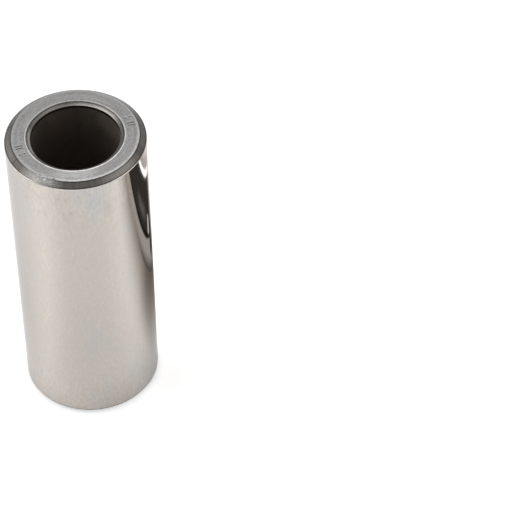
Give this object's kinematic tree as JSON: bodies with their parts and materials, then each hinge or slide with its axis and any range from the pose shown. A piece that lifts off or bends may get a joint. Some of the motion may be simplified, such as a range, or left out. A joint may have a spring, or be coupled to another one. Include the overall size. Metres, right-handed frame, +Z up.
{
  "type": "gudgeon pin",
  "caption": "Hollow ground steel gudgeon pin with a plain through bore and chamfered ends. It joins a piston to the small end of its connecting rod.",
  "frame": {"origin": "centre of the lower end face, on the pin's axis", "axes": "+Z runs up the pin's axis from the lower end to the upper end; X and Y are alike, because the pin is round"},
  "size_m": [0.022, 0.022, 0.054],
  "materials": {
    "ground_steel": "polished"
  },
  "bodies": {
    "root": {"gudgeon_pin": "ground_steel"}
  },
  "joints": []
}
